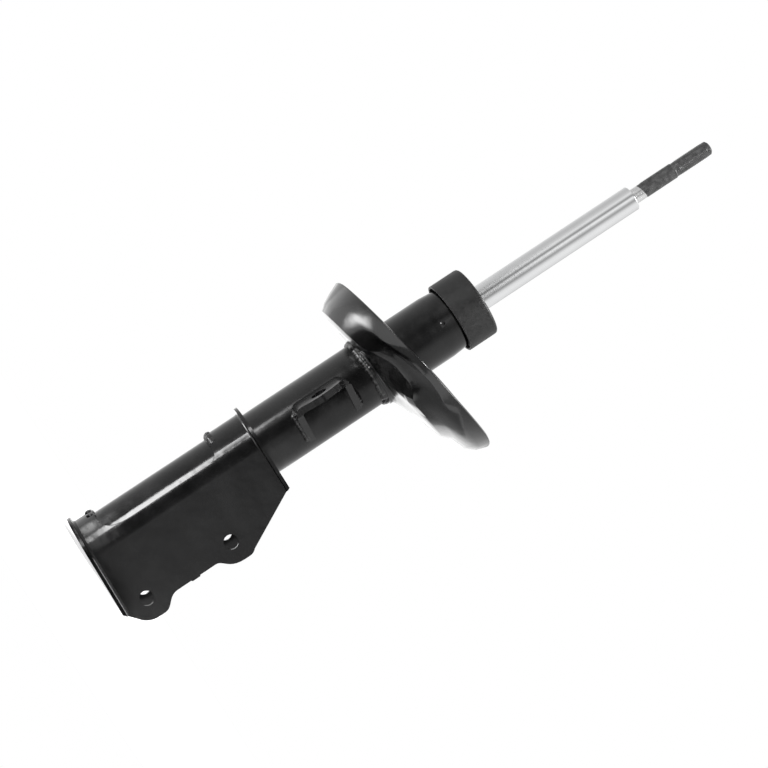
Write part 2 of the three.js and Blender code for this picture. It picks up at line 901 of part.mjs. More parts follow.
// Side profile of the bent strip: web behind, a leg at each end towards +X.
function linkProfile() {
  const low = linkCentreZ - linkLength / 2;
  const high = linkCentreZ + linkLength / 2;
  const inner = linkBend - linkPlate;
  const left = linkFaceX + linkBend;
  const profile = new THREE.Shape();
  profile.moveTo(linkFootX + 4, low);
  profile.lineTo(left, low);
  profile.absarc(left, low + linkBend, linkBend, -90 * degree, -180 * degree, true);
  profile.absarc(left, high - linkBend, linkBend, 180 * degree, 90 * degree, true);
  profile.lineTo(linkFootX + 4, high);
  profile.lineTo(linkFootX + 4, high - linkPlate);
  profile.absarc(left, high - linkBend, inner, 90 * degree, 180 * degree, false);
  profile.absarc(left, low + linkBend, inner, -180 * degree, -90 * degree, false);
  profile.lineTo(linkFootX + 4, low + linkPlate);
  return profile;
}

// Plan of the legs: gussets that taper from the web to their feet on the tube.
function linkPlan() {
  const footY = -Math.sqrt(tubeR ** 2 - linkFootX ** 2);
  const plan = new THREE.Shape();
  plan.moveTo(linkFaceX - 5, -10);
  plan.lineTo(linkFaceX - 5, linkOuterY - linkBulge - 1);
  plan.lineTo(linkFaceX + linkPlate + 2.4, linkOuterY - linkBulge - 1);
  plan.lineTo(linkFaceX + linkPlate + 2.6, linkOuterY + 1);
  plan.lineTo(linkFootX - 1, footY - 2.4);
  plan.lineTo(linkFootX + 1, footY);
  plan.lineTo(linkFootX, -10);
  return plan;
}

// Outline of the web: its free edge bows out round the hole.
function linkWeb() {
  const low = linkCentreZ - linkLength / 2 - 1;
  const high = linkCentreZ + linkLength / 2 + 1;
  const web = new THREE.Shape();
  web.moveTo(-10, low);
  web.lineTo(-10, high);
  web.lineTo(linkOuterY + 4, high);
  web.quadraticCurveTo(linkOuterY, high, linkOuterY, high - 5);
  web.quadraticCurveTo(linkOuterY - 2 * linkBulge, linkCentreZ, linkOuterY, low + 5);
  web.quadraticCurveTo(linkOuterY, low, linkOuterY + 4, low);
  return web;
}

// Turns a piece of the link bracket about the middle of the web's outer face.
function linkTurned(geometry) {
  geometry.translate(-linkFaceX, -linkPivotY, 0);
  geometry.rotateZ(linkTurn * degree);
  return geometry.translate(linkFaceX, linkPivotY, 0);
}

function linkBracket() {
  const low = linkCentreZ - linkLength;
  const high = linkCentreZ + linkLength;
  const strip = solid(linkTurned(slabY(linkProfile(), -2 * tubeR, 0, 4)));
  const legs = solid(slabZ(linkPlan(), low, high));
  const web = solid(slabX(linkWeb(), -tubeR, 2 * tubeR, 10));
  const tube = solid(drill(tubeR + seatGap, low - 1, high + 1, fine));
  const bore = new THREE.CylinderGeometry(linkHoleR, linkHoleR, 20, 24);
  bore.rotateZ(Math.PI / 2).translate(linkFaceX, linkHoleY, linkCentreZ);
  const hole = solid(linkTurned(bore));
  return geometryOf(strip.intersect(legs).intersect(web).subtract(tube).subtract(hole));
}

function linkBeadPiece(side) {
  const face = linkCentreZ + (side * linkLength) / 2;
  const start = Math.atan2(-Math.sqrt(tubeR ** 2 - linkFaceX ** 2), linkFaceX) / degree;
  const end = Math.atan2(-Math.sqrt(tubeR ** 2 - linkFootX ** 2), linkFootX) / degree;
  return cornerBead(tubeR, face, linkBead, side, start + 6, end - start - 6);
}

// ---- spring seat ----

const turnOf = (angle) => ((angle % 360) + 360) % 360;
const easeIn = (share) => 0.5 - 0.5 * Math.cos(Math.PI * Math.min(1, Math.max(0, share)));

// How far the floor is raised at an angle: a ramp that the spring's last coil
// runs up, and a steep step behind it that stops the coil's end.
function bumpAt(angle) {
  const turn = turnOf(angle);
  const up = easeIn((turn - bumpStart) / (bumpCrest - bumpStart));
  const down = easeIn((bumpEnd - turn) / (bumpEnd - bumpEdge));
  return bumpHeight * Math.min(up, down);
}

// Height of the rim above the floor's plane at an angle.
function rimRiseAt(angle) {
  const turn = turnOf(angle);
  const rising = easeIn((turn - nearRimStart) / nearRimRamp);
  const falling = easeIn((nearRimEnd - turn) / nearRimRamp);
  const fromFront = Math.min(turn, 360 - turn);
  const front = easeIn(1 - fromFront / frontRimReach);
  return rimRise + nearRimLift * Math.min(rising, falling) - frontRimDrop * front;
}

// Underside of the pressing at one angle, from the collar out to the rim. Each
// point holds its ring's offset along X, the ring's radius and the height.
function seatUnderside(angle) {
  const tilt = Math.tan(floorTilt * degree);
  const spread = Math.tan(rimTilt * degree) - tilt;
  const lean = Math.tan(seatLean * degree);
  const collarR = tubeR + seatGap + seatPlate;
  const cos = Math.cos(angle * degree);
  const sin = Math.sin(angle * degree);
  const raise = bumpAt(angle);
  const rimHere = rimRiseAt(angle);
  const squeeze = (rimHere - raise) / rimRise;
  const plane = (offset, radius) => (
    seatAxisZ + tilt * (offset + radius * cos) + lean * radius * sin
  );
  const floorPoint = (share, radius, lift) => {
    const offset = share * floorOffset;
    return { offset, radius, z: plane(offset, radius) + lift * raise };
  };
  const wallPoint = (offset, radius, rise) => {
    const turned = (spread * (offset + radius * cos) * rise) / rimRise;
    return { offset, radius, z: plane(offset, radius) + raise + rise * squeeze + turned };
  };
  const ledgeShare = Math.max(0, cos) ** 1.5;
  const mix = (a, b) => a + (b - a) * ledgeShare;
  const filletR = collarR + seatNeckFillet;
  const neckTop = seatNeckBottom + seatNeckHeight * (1 + 0.5 * cos);
  const dip = floorPoint(0.5, (filletR + floorR) / 2, 0.5);
  const bendR = collarR + seatNeckFillet * 0.3;
  return [
    { offset: 0, radius: collarR, z: seatNeckBottom },
    { offset: 0, radius: collarR, z: neckTop - 0.6 },
    { offset: 0, radius: bendR, z: neckTop },
    { offset: 0, radius: filletR, z: neckTop + 0.8 * (1 + cos) },
    { ...dip, z: dip.z - seatNeckDip * Math.max(0, cos) },
    floorPoint(0.95, floorR - 4, 1),
    floorPoint(1, floorR, 1),
    wallPoint(heelOffset, heelR, heelRise),
    wallPoint(kneeOffset, kneeR, kneeRise),
    wallPoint(
      mix((kneeOffset + upperWallOffset) / 2, ledgeOffset),
      mix((kneeR + upperWallR) / 2, ledgeR),
      mix((kneeRise + upperWallRise) / 2, ledgeRise),
    ),
    wallPoint(upperWallOffset, upperWallR, upperWallRise),
    wallPoint(rimOffset, rimR, rimRise),
  ];
}

// One closed section of the pressing: the underside, then the upper side a
// plate's thickness inwards.
function seatSection(angle) {
  const cos = Math.cos(angle * degree);
  const sin = Math.sin(angle * degree);
  const under = seatUnderside(angle);
  const flat = under.map(({ offset, radius, z }) => new THREE.Vector2(offset * cos + radius, z));
  const normals = flat.map((p, i) => {
    const before = flat[Math.max(i - 1, 0)];
    const after = flat[Math.min(i + 1, flat.length - 1)];
    const along = new THREE.Vector2().subVectors(after, before).normalize();
    return new THREE.Vector2(-along.y, along.x);
  });
  const place = (p, inwards, normal) => {
    const reach = p.radius + normal.x * inwards;
    return new THREE.Vector3(p.offset + reach * cos, reach * sin, p.z + normal.y * inwards);
  };
  const lower = under.map((p, i) => place(p, 0, normals[i]));
  const upper = under.map((p, i) => place(p, seatPlate, normals[i]));
  const boreR = tubeR + seatGap;
  const bendR = boreR + seatNeckFillet * 0.3;
  upper[0].set(boreR * cos, boreR * sin, under[0].z);
  upper[1].set(boreR * cos, boreR * sin, under[3].z + 0.6);
  upper[2].set(bendR * cos, bendR * sin, under[3].z + seatPlate - 0.7);
  return [...lower, ...upper.reverse()];
}

function springSeat() {
  const rings = [];
  for (let i = 0; i < seatSections; i += 1) {
    rings.push(seatSection((360 * i) / seatSections));
  }
  const pan = solid(loft(rings, true));
  const low = seatAxisZ - rimRise;
  const high = seatAxisZ + 2 * rimRise;
  const drainReach = (floorR + tubeR) / 2 + 2;
  const drainAngle = seatDrainAngle * degree;
  const drain = drill(seatDrainR, low, high, coarse);
  drain.translate(drainReach * Math.cos(drainAngle), drainReach * Math.sin(drainAngle), 0);
  return geometryOf(pan.subtract(solid(drain)));
}

function seatBeadPiece(index) {
  const start = seatBeadStart + (360 * index) / seatBeadCount;
  return cornerBead(tubeR, seatNeckBottom, seatBead, -1, start, seatBeadSweep);
}

// ---- assembly ----

addPiece('reserve_tube', reserveTube(), 'paint');
addPiece('base_cup', baseCup(), 'paint');
addPiece('clevis_bracket', clevisBracket(), 'paint');
addPiece('bracket_weld_lower', windowBead(windowLow, 1, windowShoulder), 'weld');
addPiece('bracket_weld_upper', windowBead(windowHigh, -1, windowCorner), 'weld');
addPiece('link_bracket', linkBracket(), 'paint');
addPiece('link_weld_lower', linkBeadPiece(-1), 'weld');
addPiece('link_weld_upper', linkBeadPiece(1), 'weld');
addPiece('spring_seat', springSeat(), 'paint');
for (let i = 0; i < seatBeadCount; i += 1) {
  addPiece(`seat_weld_${i + 1}`, seatBeadPiece(i), 'weld');
}
addPiece('pressure_tube', ring(pressureInnerR, pressureR, pressureBottom, pressureTop), 'steel');
addPiece('base_valve_body', baseValveBody(), 'sintered');
addPiece('base_valve_discs', baseValveDiscs(), 'steel');
addPiece('check_plate', checkPlate(), 'steel');
addPiece('check_spring', checkSpring(), 'steel');
addPiece('base_valve_pin', baseValvePin(), 'steel');
addPiece('rod_guide', rodGuide(), 'sintered');
addPiece('guide_bush', guideBush(), 'bronze');
addPiece('guide_ring', guideRing(), 'rubber');
addPiece('rod_seal', rodSeal(), 'rubber');
addPiece('seal_retainer', sealRetainer(), 'steel');
addPiece('end_cap', endCap(), 'cap');
addPiece('piston_rod', pistonRod(), 'chrome');
addPiece('rebound_bumper', reboundBumper(), 'rubber');
addPiece('rebound_stop_ring', reboundStopRing(), 'steel');
addPiece('upper_valve_washer', valveWasher(upperWasherTop), 'steel');
addPiece('compression_shims', shimStack(upperShimTop, true), 'steel');
addPiece('piston', pistonBody(), 'sintered');
addPiece('piston_band', pistonBand(), 'band');
addPiece('rebound_shims', shimStack(lowerShimTop, false), 'steel');
addPiece('lower_valve_washer', valveWasher(lowerWasherTop), 'steel');
addPiece('piston_nut', pistonNut(), 'steel');

export default part;
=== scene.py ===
import json
import math
import random
import bmesh
import bpy
from mathutils import Matrix, Vector, noise


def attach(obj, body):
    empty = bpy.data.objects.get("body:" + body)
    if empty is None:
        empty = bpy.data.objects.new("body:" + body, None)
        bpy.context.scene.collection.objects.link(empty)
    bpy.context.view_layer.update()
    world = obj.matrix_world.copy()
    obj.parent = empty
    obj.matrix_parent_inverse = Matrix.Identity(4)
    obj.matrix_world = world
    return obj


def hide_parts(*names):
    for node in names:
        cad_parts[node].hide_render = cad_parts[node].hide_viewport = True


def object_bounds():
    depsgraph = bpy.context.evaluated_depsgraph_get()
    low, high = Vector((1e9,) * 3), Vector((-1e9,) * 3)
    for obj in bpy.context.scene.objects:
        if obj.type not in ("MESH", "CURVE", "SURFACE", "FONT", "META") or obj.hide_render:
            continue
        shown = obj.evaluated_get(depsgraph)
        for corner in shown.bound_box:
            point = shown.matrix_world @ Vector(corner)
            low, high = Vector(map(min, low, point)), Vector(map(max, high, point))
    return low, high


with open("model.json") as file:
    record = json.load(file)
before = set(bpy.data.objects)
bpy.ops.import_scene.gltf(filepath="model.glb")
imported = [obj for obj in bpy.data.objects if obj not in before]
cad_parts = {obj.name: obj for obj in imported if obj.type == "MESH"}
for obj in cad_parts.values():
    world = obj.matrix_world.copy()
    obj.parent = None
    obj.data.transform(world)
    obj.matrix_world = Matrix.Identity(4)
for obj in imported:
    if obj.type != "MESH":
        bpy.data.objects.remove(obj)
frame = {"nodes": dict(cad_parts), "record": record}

nodes = frame["nodes"]
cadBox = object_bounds()
mm = 0.001
print("frame loaded:", len(nodes), "CAD nodes")


def newObject(name, data):
    item = bpy.data.objects.new(name, data)
    bpy.context.scene.collection.objects.link(item)
    return item


# the strut's axis lies across the picture, so the camera is rolled about its view
cameraSet = {
    "turn": 7.6,        # degrees round the axis, from square to the ears
    "lift": 6.6,        # degrees, looking up the rod
    "roll": 33.55,
    "distance": 1.547,
    "aimHeight": 0.249,
    "aimSide": 0.0138,
    "lens": 96.33,
    "sensor": 36,
    "farClip": 60,
}


def viewAxes(settings):
    turn = math.radians(settings["turn"])
    lift = math.radians(settings["lift"])
    across = Vector((-math.cos(turn), math.sin(turn), 0))
    level = Vector((math.sin(turn), math.cos(turn), 0))
    along = math.cos(lift) * Vector((0, 0, 1)) - math.sin(lift) * level
    forward = math.sin(lift) * Vector((0, 0, 1)) + math.cos(lift) * level
    return across, along, forward


def addCamera(settings):
    across, along, forward = viewAxes(settings)
    roll = math.radians(settings["roll"])
    right = math.cos(roll) * along - math.sin(roll) * across
    up = math.sin(roll) * along + math.cos(roll) * across
    place = Vector((0, 0, settings["aimHeight"]))
    place -= settings["aimSide"] * across + settings["distance"] * forward
    data = bpy.data.cameras.new("photoCamera")
    data.sensor_fit = "HORIZONTAL"
    data.sensor_width = settings["sensor"]
    data.lens = settings["lens"]
    data.clip_end = settings["farClip"]
    camera = newObject("photoCamera", data)
    turned = Matrix((right, up, -forward)).transposed().to_4x4()
    camera.matrix_world = Matrix.Translation(place) @ turned
    bpy.context.scene.camera = camera


addCamera(cameraSet)
bpy.context.scene.view_settings.view_transform = "Standard"
print("camera placed")


def mathNode(tree, operation, first, second=None):
    node = tree.nodes.new("ShaderNodeMath")
    node.operation = operation
    for socket, value in zip(node.inputs, (first, second)):
        if value is None:
            continue
        if isinstance(value, (int, float)):
            socket.default_value = value
        else:
            tree.links.new(value, socket)
    return node.outputs[0]


def stretch(tree, value, low, high, start=0.0, end=1.0):
    node = tree.nodes.new("ShaderNodeMapRange")
    for socket, bound in zip(("From Min", "From Max", "To Min", "To Max"), (low, high, start, end)):
        if isinstance(bound, (int, float)):
            node.inputs[socket].default_value = bound
        else:
            tree.links.new(bound, node.inputs[socket])
    tree.links.new(value, node.inputs["Value"])
    return node.outputs[0]


def mixNode(tree, kind, factor, first, second):
    node = tree.nodes.new("ShaderNodeMix")
    node.data_type = kind
    tree.links.new(factor, node.inputs["Factor"])
    tree.links.new(first, node.inputs["A"])
    tree.links.new(second, node.inputs["B"])
    return node.outputs["Result"]


def mixShader(tree, factor, first, second):
    node = tree.nodes.new("ShaderNodeMixShader")
    tree.links.new(factor, node.inputs["Fac"])
    tree.links.new(first.outputs[0], node.inputs[1])
    tree.links.new(second.outputs[0], node.inputs[2])
    return node


def splitPlace(tree, place):
    split = tree.nodes.new("ShaderNodeSeparateXYZ")
    tree.links.new(place, split.inputs[0])
    return split.outputs


def coordinates(tree, kind):
    return tree.nodes.new("ShaderNodeTexCoord").outputs[kind]


def newMaterial(name):
    material = bpy.data.materials.new(name)
    material.use_nodes = True
    tree = material.node_tree
    tree.nodes.clear()
    output = tree.nodes.new("ShaderNodeOutputMaterial")
    surface = tree.nodes.new("ShaderNodeBsdfPrincipled")
    tree.links.new(surface.outputs["BSDF"], output.inputs["Surface"])
    return material, tree, surface


# seen is 1 for the rays that should find a white background
def backgroundRays(tree):
    path = tree.nodes.new("ShaderNodeLightPath")
    direct, through = path.outputs["Is Camera Ray"], path.outputs["Is Transmission Ray"]
    seen = mathNode(tree, "MAXIMUM", direct, through)
    return path.outputs["Is Glossy Ray"], seen


stageRoughness = 0.9


# a dull surface and the socket that sets its glow
def glowMaterial(name, color):
    material, tree, surface = newMaterial(name)
    surface.inputs["Base Color"].default_value = (*color, 1)
    surface.inputs["Roughness"].default_value = stageRoughness
    surface.inputs["Specular IOR Level"].default_value = 0.0
    surface.inputs["Emission Color"].default_value = (1, 1, 1, 1)
    return material, tree, surface.inputs["Emission Strength"]


floorSet = {
    "radius": 0.6,
    "sides": 96,
    "drop": 0.2,           # mm under the part and the sheets
    "color": (0.8, 0.8, 0.8),
    "mirroredGlow": 0.45,
    "seenGlow": 0.75,
}


def addFloor(settings, height):
    mesh = bpy.data.meshes.new("floor")
    disc = bmesh.new()
    bmesh.ops.create_circle(
        disc, cap_ends=True, segments=settings["sides"], radius=settings["radius"]
    )
    bmesh.ops.translate(disc, verts=disc.verts, vec=(0, 0, height))
    disc.to_mesh(mesh)
    disc.free()
    material, tree, strength = glowMaterial("paleFloor", settings["color"])
    glossy, seen = backgroundRays(tree)
    mirrored = mathNode(tree, "MULTIPLY", glossy, settings["mirroredGlow"])
    glow = mathNode(tree, "MULTIPLY", seen, settings["seenGlow"])
    tree.links.new(mathNode(tree, "MAXIMUM", glow, mirrored), strength)
    mesh.materials.append(material)
    newObject("floor", mesh)


# Sheets laid on the floor, out of the camera's sight, that only the gloss shows:
# a black one at the foot, a lit one to the left, a grey one in front and a dim one
# to the right. The lit one fades to about the floor's brightness at its edge.
sheetColor = (0.01, 0.01, 0.01)
sheetFade = 0.32  # share of a sheet's width over which its glow rises from the edge
sheetSet = [
    {"name": "blackSheet", "x": -0.07, "y": -0.07, "width": 0.26, "depth": 0.2,
     "glow": 0.0, "edgeGlow": 0.0},
    {"name": "litSheet", "x": -0.36, "y": -0.05, "width": 0.26, "depth": 0.28,
     "glow": 17.0, "edgeGlow": 1.1},
    {"name": "greySheet", "x": 0.02, "y": -0.38, "width": 0.2, "depth": 0.42,
     "glow": 0.45, "edgeGlow": 0.45},
    {"name": "dimSheet", "x": 0.3, "y": 0.22, "width": 0.48, "depth": 0.66,
     "glow": 0.5, "edgeGlow": 0.5},
]


def addSheet(settings, height):
    halfX, halfY = settings["width"] / 2, settings["depth"] / 2
    corners = [(-halfX, -halfY, 0), (halfX, -halfY, 0), (halfX, halfY, 0), (-halfX, halfY, 0)]
    mesh = bpy.data.meshes.new(settings["name"])
    mesh.from_pydata(corners, [], [(0, 1, 2, 3)])
    material, tree, strength = glowMaterial(settings["name"], sheetColor)
    place = splitPlace(tree, coordinates(tree, "Generated"))
    glow = settings["glow"] - settings["edgeGlow"]
    for axis in ("X", "Y"):
        fromMiddle = mathNode(tree, "ABSOLUTE", mathNode(tree, "SUBTRACT", place[axis], 0.5))
        fromEdge = mathNode(tree, "SUBTRACT", 0.5, fromMiddle)
        rise = mathNode(tree, "MINIMUM", mathNode(tree, "DIVIDE", fromEdge, sheetFade), 1.0)
        glow = mathNode(tree, "MULTIPLY", rise, glow)
    tree.links.new(mathNode(tree, "ADD", glow, settings["edgeGlow"]), strength)
    mesh.materials.append(material)
    sheet = newObject(settings["name"], mesh)
    sheet.location = (settings["x"], settings["y"], height)
    sheet.visible_camera = False
    sheet.visible_diffuse = False
    sheet.visible_transmission = False
    sheet.visible_shadow = False


# What the gloss mirrors. Each card is (degrees round from the camera, brightness). The
# rows stand one over the other, and start is the sines of elevation between which a row
# takes over. An upright wall mirrors the row that goes with its height.
roomSet = {
    "level": 0.8,          # for the rays that aren't glossy
    "lowCards": [
        (-180, 2.2), (-150, 2.0), (-115, 1.5), (-75, 0.5), (-50, 0.06), (10, 0.06), (30, 0.8),
        (150, 1.0), (176, 2.4),
    ],
    "rows": [
        # the bracket
        {"start": (-0.16, -0.13), "cards": [
            (-180, 2.0), (-155, 1.0), (-100, 0.7), (-70, 0.45), (-50, 0.3), (-36, 0.08),
            (-14, 0.06), (9, 0.07), (15, 0.75), (24, 0.8), (50, 1.0), (155, 1.0), (178, 2.0),
        ]},
        # the tube up to the seat
        {"start": (0.049, 0.056), "cards": [
            (-180, 1.0), (-95, 0.95), (-50, 0.8), (-32, 0.35), (-20, 0.04), (28, 0.04), (42, 0.5),
            (60, 0.6), (100, 0.65), (150, 0.7),
        ]},
        # the tube from the seat to the cap
        {"start": (0.118, 0.126), "cards": [
            (-180, 1.0), (-110, 0.95), (-76, 0.6), (-58, 0.1), (-44, 0.04), (24, 0.04), (38, 0.5),
            (54, 0.95),
        ]},
        # the cap and the rod
        {"start": (0.17, 0.18), "cards": [
            (-180, 1.0), (-130, 0.7), (-90, 0.55), (-58, 0.72), (-40, 1.05), (-24, 0.3),
            (-14, 0.35), (-2, 1.1), (8, 1.0), (26, 0.35), (38, 0.45), (58, 0.95), (90, 1.0),
            (120, 0.85), (140, 0.85), (158, 0.5), (172, 0.9),
        ]},
        # what faces up
        {"start": (0.58, 0.66), "cards": [
            (-180, 0.9), (-70, 0.6), (-50, 0.4), (20, 0.4), (28, 0.4), (35, 26.0), (60, 26.0),
            (72, 0.8),
        ]},
    ],
}


# the ramp itself holds no level over 1
def cardRamp(tree, turn, cards):
    peak = max(level for degrees, level in cards)
    ramp = tree.nodes.new("ShaderNodeValToRGB")
    ramp.color_ramp.interpolation = "B_SPLINE"
    points = ramp.color_ramp.elements
    while len(points) < len(cards):
        points.new(0.5)
    for point, (degrees, level) in zip(points, cards):
        point.position = (degrees + 180) / 360
        point.color = (level / peak, level / peak, level / peak, 1)
    tree.links.new(turn, ramp.inputs["Fac"])
    scaled = tree.nodes.new("ShaderNodeVectorMath")
    scaled.operation = "SCALE"
    scaled.inputs["Scale"].default_value = peak
    tree.links.new(ramp.outputs["Color"], scaled.inputs[0])
    return scaled.outputs[0]


def addRoom(settings, cameraTurn):
    world = bpy.data.worlds.new("studio")
    bpy.context.scene.world = world
    world.use_nodes = True
    tree = world.node_tree
    tree.nodes.clear()
    mapping = tree.nodes.new("ShaderNodeMapping")
    mapping.inputs["Rotation"].default_value = (0, 0, math.radians(90 + cameraTurn))
    tree.links.new(coordinates(tree, "Generated"), mapping.inputs["Vector"])
    view = splitPlace(tree, mapping.outputs["Vector"])
    turn = mathNode(tree, "ARCTAN2", view["Y"], view["X"])
    turn = mathNode(tree, "MULTIPLY", turn, 0.5 / math.pi)
    turn = mathNode(tree, "ADD", turn, 0.5)  # 0 to 1 once round, 0.5 on the camera's side
    cards = cardRamp(tree, turn, settings["lowCards"])
    for row in settings["rows"]:
        change = stretch(tree, view["Z"], *row["start"])
        cards = mixNode(tree, "RGBA", change, cards, cardRamp(tree, turn, row["cards"]))
    plain = tree.nodes.new("ShaderNodeBackground")
    plain.inputs["Color"].default_value = (1, 1, 1, 1)
    plain.inputs["Strength"].default_value = settings["level"]
    mirrored = tree.nodes.new("ShaderNodeBackground")
    tree.links.new(cards, mirrored.inputs["Color"])
    white = tree.nodes.new("ShaderNodeBackground")
    white.inputs["Color"].default_value = (1, 1, 1, 1)
    glossy, seen = backgroundRays(tree)
    room = mixShader(tree, seen, mixShader(tree, glossy, plain, mirrored), white)
    output = tree.nodes.new("ShaderNodeOutputWorld")
    tree.links.new(room.outputs[0], output.inputs["Surface"])


# power in watts; turn in degrees round from the camera
lampSet = [
    {"name": "stripBox", "turn": -41.7, "distance": 1.2, "height": 0.05, "aim": 0.08,
     "width": 0.42, "tall": 0.16, "power": 4.8, "glossy": True},
    {"name": "upperStripBox", "turn": -47, "distance": 1.2, "height": 0.19, "aim": 0.15,
     "width": 0.2, "tall": 0.12, "power": 0.6, "glossy": True},
    {"name": "frontTopBox", "turn": 12, "distance": 0.75, "height": 1.15, "aim": 0.1,
     "width": 0.8, "tall": 0.3, "power": 14, "glossy": False},
    {"name": "fillBox", "turn": 50, "distance": 1.1, "height": 1.2, "aim": 0.25,
     "width": 1.2, "tall": 1.2, "power": 5, "glossy": False},
]


def addLamp(settings, cameraTurn):
    data = bpy.data.lights.new(settings["name"], "AREA")
    data.shape = "RECTANGLE"
    data.size = settings["width"]
    data.size_y = settings["tall"]
    data.energy = settings["power"]
    lamp = newObject(settings["name"], data)
    lamp.visible_glossy = settings["glossy"]
    lamp.visible_camera = False
    azimuth = math.radians(settings["turn"] - 90 - cameraTurn)
    reach = settings["distance"]
    lamp.location = (reach * math.cos(azimuth), reach * math.sin(azimuth), settings["height"])
    aim = Vector((0, 0, settings["aim"])) - lamp.location
    lamp.rotation_euler = aim.to_track_quat("-Z", "Y").to_euler()


foot = cadBox[0][2]
addFloor(floorSet, foot - floorSet["drop"] * mm)
for sheet in sheetSet:
    addSheet(sheet, foot)
addRoom(roomSet, cameraSet["turn"])
for lamp in lampSet:
    addLamp(lamp, cameraSet["turn"])
print("floor, room and lamps placed")


def colorOrValue(value):
    return (*value, 1) if isinstance(value, tuple) else value


skinOutputs = {
    "Color": "NodeSocketColor",
    "Roughness": "NodeSocketFloat",
    "Height": "NodeSocketFloat",
}


def openGroup(name, inputs):
    group = bpy.data.node_groups.new(name, "ShaderNodeTree")
    for label, value in inputs.items():
        kind = "NodeSocketColor" if isinstance(value, tuple) else "NodeSocketFloat"
        socket = group.interface.new_socket(label, in_out="INPUT", socket_type=kind)
        socket.default_value = colorOrValue(value)
    for label, kind in skinOutputs.items():
        group.interface.new_socket(label, in_out="OUTPUT", socket_type=kind)
    return group, group.nodes.new("NodeGroupInput").outputs


def closeGroup(group, color, roughness, height):
    end = group.nodes.new("NodeGroupOutput")
    for label, value in zip(skinOutputs, (color, roughness, height)):
        group.links.new(value, end.inputs[label])
    return group


def noiseNode(tree, place, scale, detail=3, roughness=0.5):
    texture = tree.nodes.new("ShaderNodeTexNoise")
    texture.inputs["Detail"].default_value = detail
    texture.inputs["Roughness"].default_value = roughness
    tree.links.new(place, texture.inputs["Vector"])
    if isinstance(scale, (int, float)):
        texture.inputs["Scale"].default_value = scale
    else:
        tree.links.new(scale, texture.inputs["Scale"])
    return texture.outputs["Fac"]


# sprayed enamel: slow waves in its gloss, a fine peel, and dust caught in it
filmSet = {
    "inputs": {"Color": (0.005, 0.005, 0.005), "Dust Color": (0.03, 0.03, 0.03), "Dust": 0.3,
               "Gloss Low": 0.12, "Gloss High": 0.25, "Peel Scale": 420.0},
    "cloudScale": 32,
    "glossBand": (0.3, 0.7),       # the part of the noise that is used
    "hazeBand": (0.35, 0.75),
    "hazeShare": 0.6,              # how far clouds of dust reach the dust's colour
    "speckScale": 1900,
    "speckBand": (0.62, 0.74),
    "waveScale": 30,
    "waveHeight": 9,
    "peelHeight": 0.2,
}


def paintFilmGroup(settings):
    group, entry = openGroup("paintFilm", settings["inputs"])
    place = coordinates(group, "Object")
    clouds = noiseNode(group, place, settings["cloudScale"], detail=5, roughness=0.6)
    specks = noiseNode(group, place, settings["speckScale"], detail=2)
    specks = stretch(group, specks, *settings["speckBand"])
    specks = mathNode(group, "MULTIPLY", specks, entry["Dust"])
    haze = stretch(group, clouds, *settings["hazeBand"])
    haze = mathNode(group, "MULTIPLY", haze, entry["Dust"])
    haze = mathNode(group, "MULTIPLY", haze, settings["hazeShare"])
    dusty = mathNode(group, "MAXIMUM", specks, haze)
    color = mixNode(group, "RGBA", dusty, entry["Color"], entry["Dust Color"])
    gloss = (entry["Gloss Low"], entry["Gloss High"])
    rough = stretch(group, clouds, *settings["glossBand"], *gloss)
    peel = noiseNode(group, place, entry["Peel Scale"], detail=2, roughness=0.45)
    peel = mathNode(group, "MULTIPLY", peel, settings["peelHeight"])
    waves = noiseNode(group, place, settings["waveScale"])
    waves = mathNode(group, "MULTIPLY", waves, settings["waveHeight"])
    return closeGroup(group, color, rough, mathNode(group, "ADD", peel, waves))


# turned or ground metal: fine rings square to the axis, and a cloudy finish
turnedSet = {
    "inputs": {"Color": (0.6, 0.6, 0.6), "Dark": (0.4, 0.4, 0.4), "Ring Scale": 3000.0,
               "Gloss Low": 0.15, "Gloss High": 0.3},
    "squeeze": (0.02, 0.02, 1),    # draws the noise out into rings
    "cloudScale": 70,
    "shadeBand": (0.12, 0.45),
    "glossBand": (0.3, 0.7),
}


def turnedGrainGroup(settings):
    group, entry = openGroup("turnedGrain", settings["inputs"])
    place = coordinates(group, "Object")
    flatten = group.nodes.new("ShaderNodeMapping")
    flatten.inputs["Scale"].default_value = settings["squeeze"]
    group.links.new(place, flatten.inputs["Vector"])
    rings = noiseNode(group, flatten.outputs["Vector"], entry["Ring Scale"], roughness=0.6)
    clouds = noiseNode(group, place, settings["cloudScale"], detail=4, roughness=0.6)
    shade = mathNode(group, "MULTIPLY", rings, clouds)
    shade = stretch(group, shade, *settings["shadeBand"])
    color = mixNode(group, "RGBA", shade, entry["Dark"], entry["Color"])
    gloss = (entry["Gloss Low"], entry["Gloss High"])
    rough = stretch(group, rings, *settings["glossBand"], *gloss)
    return closeGroup(group, color, rough, rings)


# moulded or sintered skin: grains with a mottled tone
grainSet = {
    "inputs": {"Color": (0.03, 0.03, 0.03), "Pale": (0.05, 0.05, 0.05), "Grain Scale": 900.0,
               "Mottle Scale": 160.0, "Gloss Low": 0.5, "Gloss High": 0.7},
    "toneBand": (0.35, 0.68),
    "glossBand": (0.3, 0.7),
}


def grainSkinGroup(settings):
    group, entry = openGroup("grainSkin", settings["inputs"])
    place = coordinates(group, "Object")
    mottle = noiseNode(group, place, entry["Mottle Scale"], detail=5, roughness=0.65)
    grain = noiseNode(group, place, entry["Grain Scale"], detail=2)
    tone = stretch(group, mottle, *settings["toneBand"])
    color = mixNode(group, "RGBA", tone, entry["Color"], entry["Pale"])
    gloss = (entry["Gloss Low"], entry["Gloss High"])
    rough = stretch(group, mottle, *settings["glossBand"], *gloss)
    return closeGroup(group, color, rough, grain)


